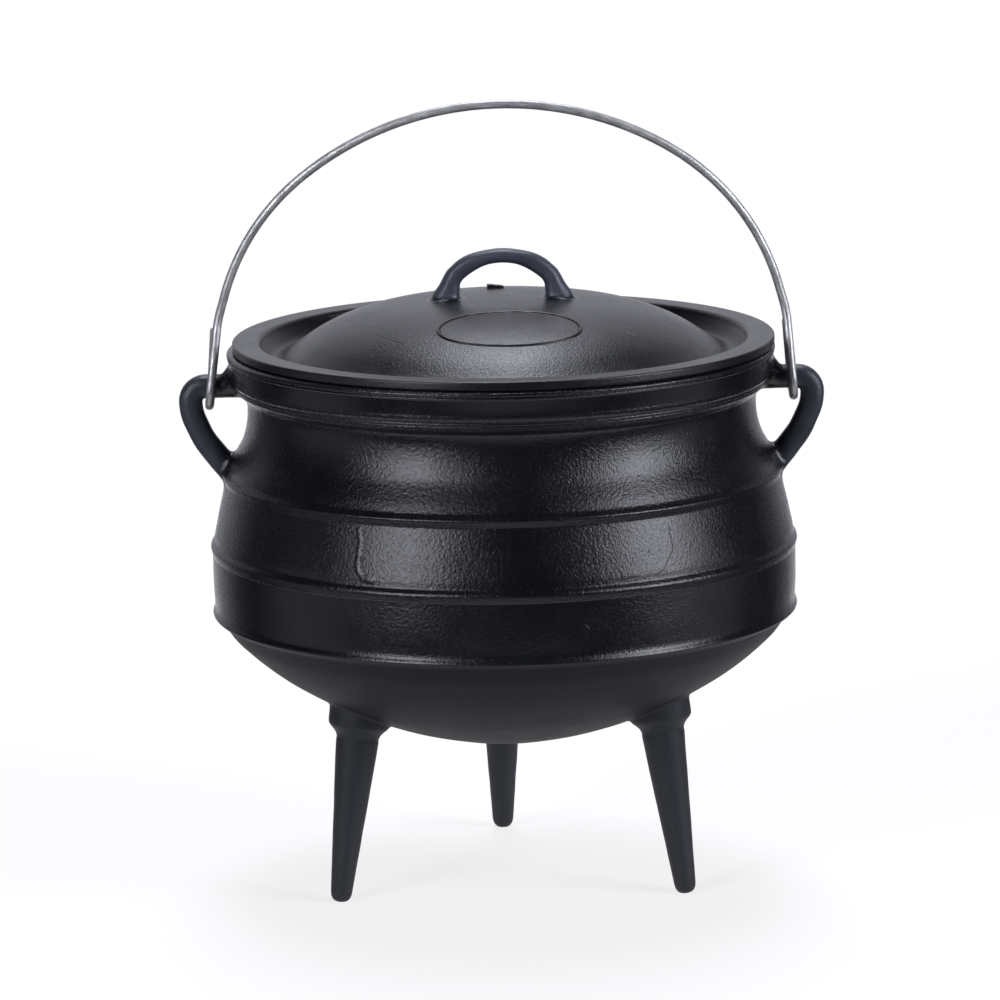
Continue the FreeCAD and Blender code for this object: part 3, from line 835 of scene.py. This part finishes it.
def iron(name, grain=1.0, rough=0.25, bar=None, tone=1.0):
    """Satin black coating over sand-cast iron. Ears, legs and grip are a duller black with a lighter
    bluish base colour, a painted sheen for the reflection they catch; bar says which of them this is."""
    mat, nt, bsdf = nodes_of(name)
    tc = nt.nodes.new("ShaderNodeTexCoord").outputs["Object"]
    sep = nt.nodes.new("ShaderNodeSeparateXYZ")
    link(nt, tc, sep.inputs[0])
    z = sep.outputs["Z"]
    fine = tex_noise(nt, tc, 1400, 2.0, 0.5)
    mid = tex_noise(nt, tc, 690, 1.0, 0.45)
    broad = tex_noise(nt, tc, 45, 3.0, 0.55)
    # colour: bluish black with faint clouding
    black = nt.nodes.new("ShaderNodeValToRGB")
    black.color_ramp.elements[0].position = 0.30
    black.color_ramp.elements[0].color = (0.0030, 0.0033, 0.0048, 1)
    black.color_ramp.elements[1].position = 0.72
    black.color_ramp.elements[1].color = (0.0048, 0.0053, 0.0073, 1)
    link(nt, broad.outputs["Fac"], black.inputs["Fac"])
    # painted sheen: a lighter bluish black for ears, legs and grip, standing in for the bluish reflection on the bars
    painted_sheen = nt.nodes.new("ShaderNodeValToRGB")
    painted_sheen.color_ramp.elements[0].position = 0.30
    painted_sheen.color_ramp.elements[0].color = (0.0160 * tone, 0.0184 * tone, 0.0252 * tone, 1)
    painted_sheen.color_ramp.elements[1].position = 0.72
    painted_sheen.color_ramp.elements[1].color = (0.0225 * tone, 0.0258 * tone, 0.0350 * tone, 1)
    link(nt, broad.outputs["Fac"], painted_sheen.inputs["Fac"])
    r1 = ranged(nt, mid.outputs["Fac"], 0.3, 0.7, rough - 0.03, rough + 0.03)
    r2 = ranged(nt, broad.outputs["Fac"], 0.3, 0.7, -0.03, 0.03)
    r = math2(nt, "ADD", r1, r2)
    # the painted sheen is masked off the bars' roots: the ear's next to the neck, the grip's feet on the dome
    if bar in ("ear", "grip"):
        if bar == "ear":
            rr = math2(nt, "ADD", math2(nt, "MULTIPLY", sep.outputs["X"], sep.outputs["X"]), math2(nt, "MULTIPLY", sep.outputs["Y"], sep.outputs["Y"]))
            mask = ranged(nt, rr, 0.0168, 0.0188, 0, 1)
        else:
            mask = ranged(nt, z, 0.2796, 0.2818, 0, 1)
        mix = nt.nodes.new("ShaderNodeMix")
        mix.data_type = "RGBA"
        link(nt, mask, mix.inputs["Factor"])
        link(nt, black.outputs["Color"], mix.inputs["A"])
        link(nt, painted_sheen.outputs["Color"], mix.inputs["B"])
        link(nt, mix.outputs["Result"], bsdf.inputs["Base Color"])
        r = math2(nt, "ADD", r, math2(nt, "MULTIPLY", mask, 0.16))
    elif bar == "leg":
        # the legs carry a dimmer painted sheen all over
        link(nt, painted_sheen.outputs["Color"], bsdf.inputs["Base Color"])
        r = math2(nt, "ADD", r, 0.36)
        bsdf.inputs["Specular IOR Level"].default_value = 0.3
    else:
        dull = ranged(nt, z, 0.1308, 0.1325, 1, 0)
        under = nt.nodes.new("ShaderNodeMix")
        under.data_type = "RGBA"
        under.inputs["B"].default_value = (0.0128, 0.0131, 0.0170, 1)
        link(nt, math2(nt, "MULTIPLY", dull, ranged(nt, broad.outputs["Fac"], 0.3, 0.7, 0.8, 1.0)), under.inputs["Factor"])
        link(nt, black.outputs["Color"], under.inputs["A"])
        link(nt, under.outputs["Result"], bsdf.inputs["Base Color"])
        r = math2(nt, "ADD", r, math2(nt, "MULTIPLY", dull, 0.32))
    link(nt, r, bsdf.inputs["Roughness"])
    h1 = math2(nt, "MULTIPLY", mid.outputs["Fac"], 0.95 if bar is None and grain == 1.0 else 0.6)
    h2 = math2(nt, "ADD", h1, fine.outputs["Fac"])
    b = nt.nodes.new("ShaderNodeBump")
    b.inputs["Distance"].default_value = 0.00018 * grain
    link(nt, h2, b.inputs["Height"])
    link(nt, b.outputs["Normal"], bsdf.inputs["Normal"])
    if bar is None:
        # the collar's face and lip are smooth; the underside of the bowl is dull and plain
        up = ranged(nt, z, 0.2450, 0.2462, 0, 1)
        down = ranged(nt, z, 0.2526, 0.2534, 1, 0)
        even = math2(nt, "ADD", math2(nt, "MULTIPLY", math2(nt, "MULTIPLY", up, down), 0.78), math2(nt, "MULTIPLY", dull, 0.6))
        even = math2(nt, "ADD", even, math2(nt, "MULTIPLY", math2(nt, "SUBTRACT", ranged(nt, z, 0.159, 0.165, 1, 0), dull), 0.38))
        link(nt, ranged(nt, even, 0, 1, 0.9, 0.0), b.inputs["Strength"])
        link(nt, ranged(nt, dull, 0, 1, 0.5, 0.07), bsdf.inputs["Specular IOR Level"])
    else:
        b.inputs["Strength"].default_value = 0.7
    bsdf.inputs["IOR"].default_value = 1.5
    return mat


def zinc(name):
    """Dull galvanised drawn wire, with draw marks along it."""
    mat, nt, bsdf = nodes_of(name)
    uv = nt.nodes.new("ShaderNodeUVMap")
    uv.uv_map = "along"
    mp = nt.nodes.new("ShaderNodeMapping")
    mp.inputs["Scale"].default_value = (6.0, 9.0, 1.0)
    link(nt, uv.outputs[0], mp.inputs[0])
    tc = nt.nodes.new("ShaderNodeTexCoord").outputs["Object"]
    streak = tex_noise(nt, mp.outputs[0], 2.2, 3.0, 0.6)
    grain = tex_noise(nt, tc, 900, 2.0, 0.6)
    cloud = tex_noise(nt, tc, 90, 3.0, 0.6)
    ramp = nt.nodes.new("ShaderNodeValToRGB")
    ramp.color_ramp.elements[0].position = 0.32
    ramp.color_ramp.elements[0].color = (0.20, 0.20, 0.205, 1)
    ramp.color_ramp.elements[1].position = 0.66
    ramp.color_ramp.elements[1].color = (0.70, 0.70, 0.69, 1)
    mixf = math2(nt, "ADD", math2(nt, "MULTIPLY", streak.outputs["Fac"], 0.7), math2(nt, "MULTIPLY", cloud.outputs["Fac"], 0.3))
    link(nt, mixf, ramp.inputs["Fac"])
    link(nt, ramp.outputs["Color"], bsdf.inputs["Base Color"])
    bsdf.inputs["Metallic"].default_value = 0.7
    link(nt, ranged(nt, grain.outputs["Fac"], 0.3, 0.7, 0.34, 0.52), bsdf.inputs["Roughness"])
    b = nt.nodes.new("ShaderNodeBump")
    b.inputs["Distance"].default_value = 0.00012
    b.inputs["Strength"].default_value = 0.6
    link(nt, math2(nt, "ADD", streak.outputs["Fac"], math2(nt, "MULTIPLY", grain.outputs["Fac"], 0.5)), b.inputs["Height"])
    link(nt, b.outputs["Normal"], bsdf.inputs["Normal"])
    return mat


IRON = iron("pot_iron")
IRON_LID = iron("lid_iron", grain=0.9, rough=0.32)
IRON_EAR = iron("ear_iron", bar="ear", tone=1.5)
IRON_LEG = iron("leg_iron", bar="leg", tone=0.54)
IRON_GRIP = iron("grip_iron", bar="grip", tone=2.3)
ZINC = zinc("bail_zinc")


def finish_piece(ob, body, nodes, mat):
    ob.data.materials.append(mat)
    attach(ob, body)
    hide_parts(*nodes)
    return ob


# ------------------------------------------------------------------ the pieces
N_TURN = 384
rows, dirs = thin_rows(outer_line, 212, 2.9, 6.5)
V, Q, T = turned(rows, dirs, N_TURN, cast_skin)
pot = Parts()
pot.add(V, Q, T)
# the inside of the wall shares the last ring's place, just inside the mouth
rows_i, dirs_i = thin_rows(inner_line, 70, 5.2, 3.0)
Vi, Qi, Ti = turned(rows_i, dirs_i, N_TURN // 3, cast_skin, flip=True)
pot.add(Vi, Qi, Ti)

# edges of a plate let into the mould, a scratch and a few casting marks
for pts, half, height, lop in (
    ([(-120.3, 193.0), (-119.6, 186.7), (-119.7, 179.5), (-119.7, 175.0), (-118.9, 171.6), (-117.6, 169.9), (-115.6, 169.2)], 1.9, 0.25, 0.0),
    ([(-121.5, 172.0), (-120.9, 169.4)], 0.6, 0.12, 0.0),
    ([(-55.2, 190.0), (-55.2, 184.0), (-55.3, 178.4), (-56.6, 174.6), (-57.9, 171.0), (-61.4, 169.3)], 0.42, 0.13, 0.0),
    ([(-62.5, 168.9), (-64.2, 169.5), (-66.0, 168.9)], 0.5, 0.16, 0.0),
    ([(-74.9, 149.4), (-74.3, 148.2), (-73.9, 146.9)], 0.3, 0.16, 0.0),
    ([(-142.0, 184.5), (-140.9, 185.4)], 0.5, 0.2, 0.0),
    ([(-158.9, 167.0), (-158.3, 166.6)], 0.7, 0.35, 0.0),
    ([(-98.0, 178.2), (-96.9, 178.9), (-96.0, 178.3)], 0.3, 0.10, 0.0),
    ([(62.0, 186.0), (60.4, 181.2), (61.2, 176.9)], 0.4, 0.14, 0.0),
    ([(118.0, 148.0), (119.8, 150.9)], 0.4, 0.16, 0.0),
):
    P, N = on_wall(pts)
    V, Q = ridge(P, N, half, height, ends=1.4, wob=0.7, lopside=lop)
    pot.add(V, Q)
finish_piece(pot.object("pot_body"), "pot", ["pot"], IRON)

for side, name in ((-1, "ear_left"), (1, "ear_right")):
    box = ((-160.0, -13.5, 186.0), (-112.0, 13.5, 254.0)) if side < 0 else ((112.0, -13.5, 186.0), (160.0, 13.5, 254.0))
    V, Q = grown(ear_maker(side), wall_dist, 4.2, box[0], box[1], 0.62)
    finish_piece(make_object(name, V, Q), "pot", ["pot"], IRON_EAR)

for angle, name in ((210.0, "leg_front_left"), (330.0, "leg_front_right"), (90.0, "leg_back")):
    feature, foot, axes = leg_maker(angle + LEG_YAW)
    V, Q = grown(feature, bowl_dist, 1.5, (-19, -19, -2.0), (19, 19, 108.0), 0.72, foot, axes, reach=1.5)
    V[:, 2] = np.maximum(V[:, 2], 0.0)
    finish_piece(make_object(name, V, Q), "pot", ["pot"], IRON_LEG)

rows_l, dirs_l = thin_rows(lid_line, 236, 2.4, 7.0)
V, Q, T = turned(rows_l[:-1], dirs_l[:-1], N_TURN, cast_skin, centre=(LID_CX, 0.0), flip=True)
lid = Parts()
last = np.arange((len(rows_l) - 3) * N_TURN, (len(rows_l) - 2) * N_TURN)
c = len(V)
V = np.concatenate([V, [[LID_CX, 0.0, rows_l[-1, 1]]]])
close = np.stack([np.full(N_TURN, c), np.roll(last, -1), last], -1)
lid.add(V, Q, np.concatenate([T, close]))
t = np.linspace(0, 2 * np.pi, 520, endpoint=False)
tilt = math.atan2(0.0434, 0.9991)
ex, ey = 33.1 * np.cos(t), 20.65 * np.sin(t)
oval = np.stack([4.27 - LID_CX + ex * math.cos(tilt) - ey * math.sin(tilt), -57.8 + ex * math.sin(tilt) + ey * math.cos(tilt)], 1)
P, N = on_dome(oval)
V, Q = ridge(P, N, 1.15, 0.66, closed=True, wob=0.3)
lid.add(V, Q)
for xy, half, height in (
    ([(-58.8, -46.9), (-51.6, -58.3), (-45.5, -65.5)], 0.45, 0.10),
    ([(57.0, -50.0), (60.8, -52.1), (64.6, -53.3)], 0.6, 0.14),
    ([(-70.0, 30.0), (-66.5, 37.0), (-64.0, 41.0)], 0.5, 0.12),
):
    C = spline(xy, 40)
    P, N = on_dome(C)
    V, Q = ridge(P, N, half, height, ends=2.0, wob=0.8)
    lid.add(V, Q)
V, Q = grown(stub_dist, dome_dist, 0.7, (-11, 27, 272), (9, 40, 284), 0.4, reach=0.6)
lid.add(V, Q)
finish_piece(lid.object("lid_dish"), "pot", ["lid"], IRON_LID)

V, Q = grown(grip_dist, dome_dist, 1.8, (-42, -12, 273.0), (44.6, 12, 306.0), 0.5, reach=1.0)
finish_piece(make_object("lid_grip", V, Q), "pot", ["lid"], IRON_GRIP)

V, Q, T, uv = tube(bail_path(), WIRE_R, 28)
finish_piece(make_object("bail_wire", V, Q, T, uv), "bail", ["bail_handle"], ZINC)

# ---------------------------------------------------------------------- stage
def staged_plane(name, verts, mat):
    me = bpy.data.meshes.new(name)
    me.from_pydata(verts, [], [(0, 1, 2, 3)])
    me.materials.append(mat)
    ob = bpy.data.objects.new(name, me)
    bpy.context.scene.collection.objects.link(ob)
    ob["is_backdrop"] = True
    return ob


# a white floor, and a hair below it the narrow lit strip of it that the iron reflects
fm, fnt, fb = nodes_of("floor_white")
fb.inputs["Base Color"].default_value = (0.250, 0.249, 0.246, 1)
fb.inputs["Roughness"].default_value = 0.9
fb.inputs["Specular IOR Level"].default_value = 0.0
fb.inputs["Emission Color"].default_value = (1.0, 1.0, 1.0, 1)
fb.inputs["Emission Strength"].default_value = 0.76
floor = staged_plane("floor", [(-6.5, -6.5, 0), (6.5, -6.5, 0), (6.5, 6.5, 0), (-6.5, 6.5, 0)], fm)
floor.visible_glossy = floor.visible_diffuse = floor.visible_shadow = False
strip = staged_plane("floor_strip", [(-0.275, -0.275, -0.0006), (0.275, -0.275, -0.0006), (0.80, 6.5, -0.0006), (-0.80, 6.5, -0.0006)], fm)
strip.visible_camera = False

# the studio, drawn on the world: two tall softboxes in front, a wide one overhead
world = bpy.data.worlds.new("studio")
bpy.context.scene.world = world
world.use_nodes = True
wn = world.node_tree
bg = wn.nodes["Background"]
bg.inputs["Strength"].default_value = 1.0
wdir = wn.nodes.new("ShaderNodeTexCoord").outputs["Generated"]


def wdot(vec):
    n = wn.nodes.new("ShaderNodeVectorMath")
    n.operation = "DOT_PRODUCT"
    wn.links.new(wdir, n.inputs[0])
    n.inputs[1].default_value = vec
    return n.outputs["Value"]


def wstep(val, a, b, c, d):
    n = wn.nodes.new("ShaderNodeMapRange")
    n.interpolation_type = "SMOOTHSTEP"
    for k, v in zip(("From Min", "From Max", "To Min", "To Max"), (a, b, c, d)):
        n.inputs[k].default_value = v
    wn.links.new(val, n.inputs["Value"])
    return n.outputs["Result"]


def softbox(az, el, half_w, half_h, soft, level):
    """Azimuth from the viewer's side, positive to the right; all angles in degrees."""
    a, e = math.radians(az), math.radians(el)
    d = Vector((math.cos(e) * math.sin(a), -math.cos(e) * math.cos(a), math.sin(e)))
    u = Vector((math.cos(a), math.sin(a), 0.0))
    v = u.cross(d)
    w, h, s = (math.tan(math.radians(x)) for x in (half_w, half_h, soft))
    dd = math2(wn, "MAXIMUM", wdot(d), 0.001)
    x = math2(wn, "ABSOLUTE", math2(wn, "DIVIDE", wdot(u), dd), 0.0)
    y = math2(wn, "ABSOLUTE", math2(wn, "DIVIDE", wdot(v), dd), 0.0)
    m = math2(wn, "MULTIPLY", wstep(x, w - s, w + s, 1, 0), wstep(y, h - s, h + s, 1, 0))
    return math2(wn, "MULTIPLY", math2(wn, "MULTIPLY", m, wstep(wdot(d), 0.0, 0.1, 0, 1)), level)


light = softbox(-41, 17, 9.5, 19, 6, 8.5)
light = math2(wn, "ADD", light, softbox(64, 19, 12, 20, 7, 8.7))
light = math2(wn, "ADD", light, softbox(180, 69, 9, 18, 6, 9.8))
room = math2(wn, "ADD", wstep(wdot((-0.06, 0.983, 0.17)), 0.57, 0.985, 0.025, 0.62), wstep(wdot((0, 0.86, 0.5)), 0.82, 0.97, 0.0, 0.10))
light = math2(wn, "ADD", light, room)
light = math2(wn, "ADD", light, math2(wn, "MULTIPLY", wstep(wdot((0, -0.6, -0.8)), 0.78, 0.94, 0, 1), 0.5))
for side in (-0.965, 0.965):
    light = math2(wn, "ADD", light, math2(wn, "MULTIPLY", wstep(wdot((side, -0.10, -0.24)), 0.90, 0.98, 0, 1), 0.35))
tint = wn.nodes.new("ShaderNodeCombineXYZ")
for k, v in enumerate((0.955, 0.975, 1.075)):
    wn.links.new(math2(wn, "MULTIPLY", light, v), tint.inputs[k])
lp = wn.nodes.new("ShaderNodeLightPath")
wm = wn.nodes.new("ShaderNodeMix")
wm.data_type = "RGBA"
wn.links.new(lp.outputs["Is Camera Ray"], wm.inputs["Factor"])
wn.links.new(tint.outputs[0], wm.inputs["A"])
wm.inputs["B"].default_value = (0.995, 0.998, 1.0, 1)
wn.links.new(wm.outputs["Result"], bg.inputs["Color"])

# --------------------------------------------------------------------- camera
pitch, yaw, roll = math.radians(10.859), math.radians(-0.03), math.radians(-1.024)
fwd = Vector((math.sin(yaw) * math.cos(pitch), math.cos(yaw) * math.cos(pitch), -math.sin(pitch)))
rgt = Vector((math.cos(yaw), -math.sin(yaw), 0.0))
upv = rgt.cross(fwd)
cam = bpy.data.cameras.new("camera")
cam.lens = 234.634
cam.sensor_width = 36.0
cam.clip_start, cam.clip_end = 0.1, 60.0
co = bpy.data.objects.new("camera", cam)
m = Matrix((rgt, upv, -fwd)).transposed().to_4x4() @ Matrix.Rotation(roll, 4, "Z")
co.matrix_world = Matrix.Translation((0.0, -3.0429, 0.7660)) @ m
bpy.context.scene.collection.objects.link(co)
bpy.context.scene.camera = co
bpy.context.scene.view_settings.view_transform = "Standard"
bpy.context.scene.view_settings.look = "None"

bpy.context.view_layer.update()
total = 0
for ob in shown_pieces():
    ob.data.calc_loop_triangles()
    n = len(ob.data.loop_triangles)
    total += n
    print("piece", ob.name, "triangles", n)
print("triangles in all", total)
